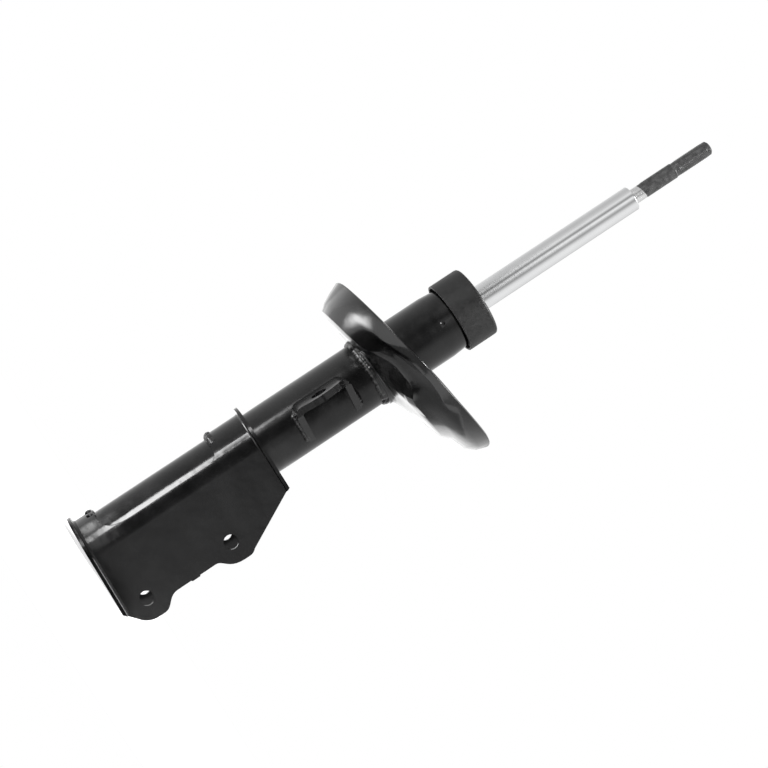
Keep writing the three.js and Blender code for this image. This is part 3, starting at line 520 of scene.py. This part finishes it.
shaderGroups = {
    "paintFilm": paintFilmGroup(filmSet),
    "turnedGrain": turnedGrainGroup(turnedSet),
    "grainSkin": grainSkinGroup(grainSet),
}


def placeGroup(tree, name, values):
    node = tree.nodes.new("ShaderNodeGroup")
    node.node_tree = shaderGroups[name]
    for label, value in values.items():
        node.inputs[label].default_value = colorOrValue(value)
    return node.outputs


def addBump(tree, surface, height, strength, depth):
    bump = tree.nodes.new("ShaderNodeBump")
    bump.inputs["Strength"].default_value = strength
    bump.inputs["Distance"].default_value = depth
    tree.links.new(height, bump.inputs["Height"])
    tree.links.new(bump.outputs["Normal"], surface.inputs["Normal"])


def makeFinish(name, settings):
    material, tree, surface = newMaterial(name)
    skin = placeGroup(tree, settings["group"], settings["values"])
    tree.links.new(skin["Color"], surface.inputs["Base Color"])
    tree.links.new(skin["Roughness"], surface.inputs["Roughness"])
    addBump(tree, surface, skin["Height"], *settings["bump"])
    for label, value in settings["constants"].items():
        surface.inputs[label].default_value = value
    return material


# bump is (strength, depth in metres)
finishSet = {
    "blackPaint": {
        "group": "paintFilm",
        "values": {"Color": (0.001, 0.001, 0.0011), "Dust Color": (0.035, 0.035, 0.035),
                   "Dust": 0.35, "Gloss Low": 0.11, "Gloss High": 0.19, "Peel Scale": 420.0},
        "bump": (0.12, 0.0004),
        "constants": {"IOR": 1.5},
    },
    "weldPaint": {
        "group": "paintFilm",
        "values": {"Color": (0.006, 0.006, 0.006), "Dust Color": (0.05, 0.05, 0.05),
                   "Dust": 0.35, "Gloss Low": 0.1, "Gloss High": 0.25, "Peel Scale": 900.0},
        "bump": (0.3, 0.0004),
        "constants": {"IOR": 1.5},
    },
    "capPlastic": {
        "group": "grainSkin",
        "values": {"Color": (0.006, 0.006, 0.006), "Pale": (0.012, 0.012, 0.012),
                   "Grain Scale": 1500.0, "Mottle Scale": 260.0,
                   "Gloss Low": 0.42, "Gloss High": 0.55},
        "bump": (0.15, 0.0003),
        "constants": {"IOR": 1.42},
    },
    "brightSteel": {
        "group": "turnedGrain",
        "values": {"Color": (0.62, 0.62, 0.63), "Dark": (0.42, 0.42, 0.43),
                   "Ring Scale": 3000.0, "Gloss Low": 0.2, "Gloss High": 0.36},
        "bump": (0.1, 0.0002),
        "constants": {"Metallic": 1.0},
    },
    "sinteredIron": {
        "group": "grainSkin",
        "values": {"Color": (0.16, 0.155, 0.15), "Pale": (0.3, 0.29, 0.28),
                   "Grain Scale": 1800.0, "Mottle Scale": 300.0,
                   "Gloss Low": 0.4, "Gloss High": 0.6},
        "bump": (0.35, 0.0003),
        "constants": {"Metallic": 0.85},
    },
    "bronzeLining": {
        "group": "turnedGrain",
        "values": {"Color": (0.62, 0.44, 0.22), "Dark": (0.42, 0.28, 0.13),
                   "Ring Scale": 2500.0, "Gloss Low": 0.25, "Gloss High": 0.4},
        "bump": (0.1, 0.0002),
        "constants": {"Metallic": 1.0},
    },
    "nitrileRubber": {
        "group": "grainSkin",
        "values": {"Color": (0.012, 0.012, 0.012), "Pale": (0.025, 0.025, 0.025),
                   "Grain Scale": 1200.0, "Mottle Scale": 200.0,
                   "Gloss Low": 0.55, "Gloss High": 0.75},
        "bump": (0.2, 0.0003),
        "constants": {"IOR": 1.5},
    },
    "bandPolymer": {
        "group": "grainSkin",
        "values": {"Color": (0.05, 0.06, 0.05), "Pale": (0.08, 0.09, 0.08),
                   "Grain Scale": 2200.0, "Mottle Scale": 400.0,
                   "Gloss Low": 0.4, "Gloss High": 0.55},
        "bump": (0.1, 0.0002),
        "constants": {"IOR": 1.45},
    },
}

finishes = {name: makeFinish(name, settings) for name, settings in finishSet.items()}

# heights in metres
rodSet = {
    "neckBottom": 0.4873,    # chrome below, bare neck above, with the shoulder's face
    "neckTop": 0.4965,       # the dark coat of the stub starts here
    "coatSlant": 0.25,       # its edge climbs this much per metre towards the ears
    "chrome": {"Color": (0.84, 0.845, 0.85), "Dark": (0.78, 0.785, 0.79),
               "Ring Scale": 6000.0, "Gloss Low": 0.05, "Gloss High": 0.1},
    "neck": {"Color": (0.86, 0.86, 0.86), "Dark": (0.7, 0.7, 0.7),
             "Ring Scale": 2600.0, "Gloss Low": 0.22, "Gloss High": 0.32},
    "phosphate": {"Color": (0.028, 0.028, 0.028), "Pale": (0.075, 0.075, 0.075),
                  "Grain Scale": 1700.0, "Mottle Scale": 300.0,
                  "Gloss Low": 0.16, "Gloss High": 0.26},
    "bump": (0.06, 0.0002),
    "coatMetallic": 0.35,
}


# ground chrome, then a bright turned neck, then a dark phosphated stub
def rodFinish(settings):
    material, tree, surface = newMaterial("rodFinish")
    chrome = placeGroup(tree, "turnedGrain", settings["chrome"])
    neck = placeGroup(tree, "turnedGrain", settings["neck"])
    stub = placeGroup(tree, "grainSkin", settings["phosphate"])
    place = splitPlace(tree, coordinates(tree, "Object"))
    pastShoulder = mathNode(tree, "GREATER_THAN", place["Z"], settings["neckBottom"])
    climb = mathNode(tree, "MULTIPLY", place["X"], settings["coatSlant"])
    height = mathNode(tree, "SUBTRACT", place["Z"], climb)
    pastNeck = mathNode(tree, "GREATER_THAN", height, settings["neckTop"])
    mixed = {}
    for label, kind in (("Color", "RGBA"), ("Roughness", "FLOAT"), ("Height", "FLOAT")):
        bright = mixNode(tree, kind, pastShoulder, chrome[label], neck[label])
        mixed[label] = mixNode(tree, kind, pastNeck, bright, stub[label])
    tree.links.new(mixed["Color"], surface.inputs["Base Color"])
    tree.links.new(mixed["Roughness"], surface.inputs["Roughness"])
    addBump(tree, surface, mixed["Height"], *settings["bump"])
    metallic = stretch(tree, pastNeck, 0, 1, 1.0, settings["coatMetallic"])
    tree.links.new(metallic, surface.inputs["Metallic"])
    return material


finishes["rodFinish"] = rodFinish(rodSet)
print("finishes made:", len(finishes))


slotFinish = {
    "black_paint": "blackPaint",
    "painted_weld": "weldPaint",
    "cap_plastic": "capPlastic",
    "hard_chrome": "rodFinish",
    "bright_steel": "brightSteel",
    "sintered_iron": "sinteredIron",
    "bronze_lining": "bronzeLining",
    "black_rubber": "nitrileRubber",
    "band_plastic": "bandPolymer",
}

# lengths in mm, angles in degrees
dressSet = {
    "joinReach": 0.005,
    "flatAngle": 0.6,        # facets that differ by less become one face
    "edgeAngle": 34,         # edges sharper than this are rounded
    "edgeSteps": 3,
    "edgeRadius": 0.2,       # for the pieces that edgeSet leaves out
    "weight": 80,            # of the large faces in the shading
    "bentWeight": 50,
}
edgeSet = {
    "clevis_bracket": 0.55,
    "link_bracket": 0.9,
    "spring_seat": 0.7,
    "end_cap": 0.4,
    "piston_rod": 0.2,
    "base_cup": 0.4,
}
bentNodes = {"spring_seat", "link_bracket"}   # they shade evenly over their curves
loftedNodes = {"spring_seat"}                 # they keep all their facets


def dressNode(node, finish, radius):
    node.data.materials.clear()
    node.data.materials.append(finish)
    with bpy.context.temp_override(object=node, active_object=node, selected_objects=[node]):
        if node.data.has_custom_normals:
            bpy.ops.mesh.customdata_custom_splitnormals_clear()
    node.data.polygons.foreach_set("use_smooth", [True] * len(node.data.polygons))
    join = node.modifiers.new("joinCorners", "WELD")
    join.merge_threshold = dressSet["joinReach"] * mm
    if node.name not in loftedNodes:
        flat = node.modifiers.new("flatFaces", "DECIMATE")
        flat.decimate_type = "DISSOLVE"
        flat.angle_limit = math.radians(dressSet["flatAngle"])
    rounded = node.modifiers.new("roundEdges", "BEVEL")
    rounded.width = radius * mm
    rounded.segments = dressSet["edgeSteps"]
    rounded.limit_method = "ANGLE"
    rounded.angle_limit = math.radians(dressSet["edgeAngle"])
    rounded.use_clamp_overlap = True
    even = node.modifiers.new("evenShading", "WEIGHTED_NORMAL")
    even.mode = "FACE_AREA_WITH_ANGLE"
    even.weight = dressSet["bentWeight"] if node.name in bentNodes else dressSet["weight"]


for subpart in frame["record"]["subparts"]:
    name = subpart["node"]
    finish = finishes[slotFinish[subpart["material_slot"]]]
    dressNode(nodes[name], finish, edgeSet.get(name, dressSet["edgeRadius"]))
print("CAD nodes dressed")


def addPiece(name, mesh, finish, body, smooth=True):
    mesh.materials.append(finish)
    mesh.polygons.foreach_set("use_smooth", [smooth] * len(mesh.polygons))
    piece = newObject(name, mesh)
    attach(piece, body)
    return piece


# joins equal rings of points into one skin with flat ends
def skinRings(name, rings):
    work = bmesh.new()
    rows = [[work.verts.new(p) for p in ring] for ring in rings]
    count = len(rings[0])
    for low, high in zip(rows, rows[1:]):
        for k in range(count):
            m = (k + 1) % count
            work.faces.new((low[k], high[k], high[m], low[m]))
    work.faces.new(rows[0])
    work.faces.new(rows[-1][::-1])
    bmesh.ops.recalc_face_normals(work, faces=work.faces)
    mesh = bpy.data.meshes.new(name)
    work.to_mesh(mesh)
    work.free()
    return mesh


def roundAxis(radius, turn, height):
    return Vector((radius * math.cos(turn), radius * math.sin(turn), height)) * mm


tubeRadius = max(corner[0] for corner in nodes["reserve_tube"].bound_box) / mm

# lengths in mm, angles in degrees
weldSet = {
    "pitch": 2.3,              # from ripple to ripple
    "leastRipples": 3,
    "stepsPerRipple": 6,
    "around": 12,              # points over a section
    "firstAngle": -30,         # where a section starts
    "overAngle": 150,
    "sink": 0.5,               # how far the bead is melted into both plates
    "backing": 0.4,            # its hidden side lies this much deeper
    "plateShare": 0.2,         # what is lower than this share of its size melts in
    "fill": 0.86,              # its middling size, as a share of the size asked for
    "swell": (-0.14, 0.2),     # how much the ripples differ in size
    "ripple": 0.42,            # height of a ripple
    "rippleMiddle": 0.4,
    "rippleFall": 0.6,
    "rippleRise": 8,
    "endSize": 0.2,            # share of its size at the very ends
    "endRise": 0.8,            # what it gains with each ripple from there
    "lead": 0.035,             # radians that a ripple's middle runs ahead of its edges
    "wobble": 0.25,
    "wobbleAlong": 1.7,
    "wobbleAround": 0.8,
}


def beadRing(bead, face, shape, share, ripples, swells, seed):
    turn = math.radians(bead["start"] + bead["sweep"] * share)
    along = share * ripples
    phase = along - math.floor(along)
    crest = (1 - phase) ** shape["rippleFall"] * min(1, phase * shape["rippleRise"])
    swell = swells[int(along)] * (1 - phase) + swells[int(along) + 1] * phase
    ends = min(1, shape["endSize"] + shape["endRise"] * min(share, 1 - share) * ripples)
    reach = bead["size"] * ends * shape["fill"] * swell
    reach += shape["ripple"] * (crest - shape["rippleMiddle"])
    ring = []
    for k in range(shape["around"]):
        over = shape["overAngle"] * k / (shape["around"] - 1)
        angle = math.radians(shape["firstAngle"] + over)
        spot = Vector((along * shape["wobbleAlong"], k * shape["wobbleAround"], seed))
        length = reach + noise.noise(spot) * shape["wobble"]
        out = max(math.cos(angle) * length * bead["flatness"], 0)
        rise = math.sin(angle) * length
        if rise < shape["plateShare"] * bead["size"]:
            rise -= shape["sink"]
        lead = shape["lead"] * math.sin(math.radians(over))
        height = face + bead["side"] * rise
        ring.append(roundAxis(tubeRadius - shape["sink"] + out, turn + lead, height))
    inner = tubeRadius - shape["sink"] - shape["backing"]
    ring.append(roundAxis(inner, turn, face))
    return ring


# A bead in the corner between the tube's wall and a face at one height. Ripples
# follow each other along it like laid coins.
def weldBead(name, bead, face, shape, seed):
    chance = random.Random(seed)
    length = math.radians(bead["sweep"]) * tubeRadius
    ripples = max(shape["leastRipples"], round(length / shape["pitch"]))
    swells = [1 + chance.uniform(*shape["swell"]) for _ in range(ripples + 2)]
    steps = ripples * shape["stepsPerRipple"]
    rings = []
    for i in range(steps + 1):
        rings.append(beadRing(bead, face, shape, i / steps, ripples, swells, seed))
    return skinRings(name, rings)


# A bead lies above its face (side 1) or below it (-1). The face is the near side of the
# CAD bead, moved back to the plate, or on the bracket into it.
seatStart = -151
seatSpacing = 120
seatBead = {"side": -1, "back": 0.3, "size": 5.0, "flatness": 0.6, "sweep": 117}
linkBead = {"back": 0.3, "size": 2.9, "flatness": 1.0, "start": -112, "sweep": 58}
bracketBead = {"back": 3.5, "size": 4.0, "flatness": 1.15}
beadSet = {}
for i in range(3):
    beadSet[f"seat_weld_{i + 1}"] = {**seatBead, "start": seatStart + seatSpacing * i}
beadSet["link_weld_lower"] = {**linkBead, "side": -1}
beadSet["link_weld_upper"] = {**linkBead, "side": 1}
beadSet["bracket_weld_lower"] = {**bracketBead, "side": 1, "start": 155.5, "sweep": 49}
beadSet["bracket_weld_upper"] = {**bracketBead, "side": -1, "start": 138.5, "sweep": 83}


def beadFace(node, bead):
    heights = [corner[2] / mm for corner in nodes[node].bound_box]
    near = min(heights) if bead["side"] == 1 else max(heights)
    return near - bead["side"] * bead["back"]


for seed, (node, bead) in enumerate(beadSet.items()):
    mesh = weldBead(node + "_bead", bead, beadFace(node, bead), weldSet, seed)
    piece = addPiece(node + "_bead", mesh, finishes["weldPaint"], "strut")
    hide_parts(node)
print("weld beads laid:", len(beadSet))


# lengths in mm
threadSet = {
    "low": 527.6,
    "high": 558.6,
    "pitch": 1.5,
    "root": 5.62,
    "crest": 6.02,
    "perTurn": 28,
    "footShare": 0.92,       # of half a pitch, from a ridge's middle to its foot
    "flatShare": 0.16,       # and to the edge of its flat top
    "runOut": 0.125,         # share of its length over which it rises at each end
}


def threadRidge(settings):
    low, high = settings["low"], settings["high"]
    root, crest = settings["root"], settings["crest"]
    turns = (high - low) / settings["pitch"]
    steps = round(turns * settings["perTurn"])
    foot = settings["footShare"] * settings["pitch"] / 2
    flat = settings["flatShare"] * settings["pitch"] / 2
    rings = []
    for i in range(steps + 1):
        share = i / steps
        turn = 2 * math.pi * turns * share
        middle = low + (high - low) * share
        top = root + (crest - root) * min(1, min(share, 1 - share) / settings["runOut"])
        section = ((root, -foot), (top, -flat), (top, flat), (root, foot))
        rings.append([roundAxis(radius, turn, middle + rise) for radius, rise in section])
    return skinRings("stub_thread", rings)


addPiece("stub_thread", threadRidge(threadSet), finishes["rodFinish"], "rod", False)
print("thread cut")
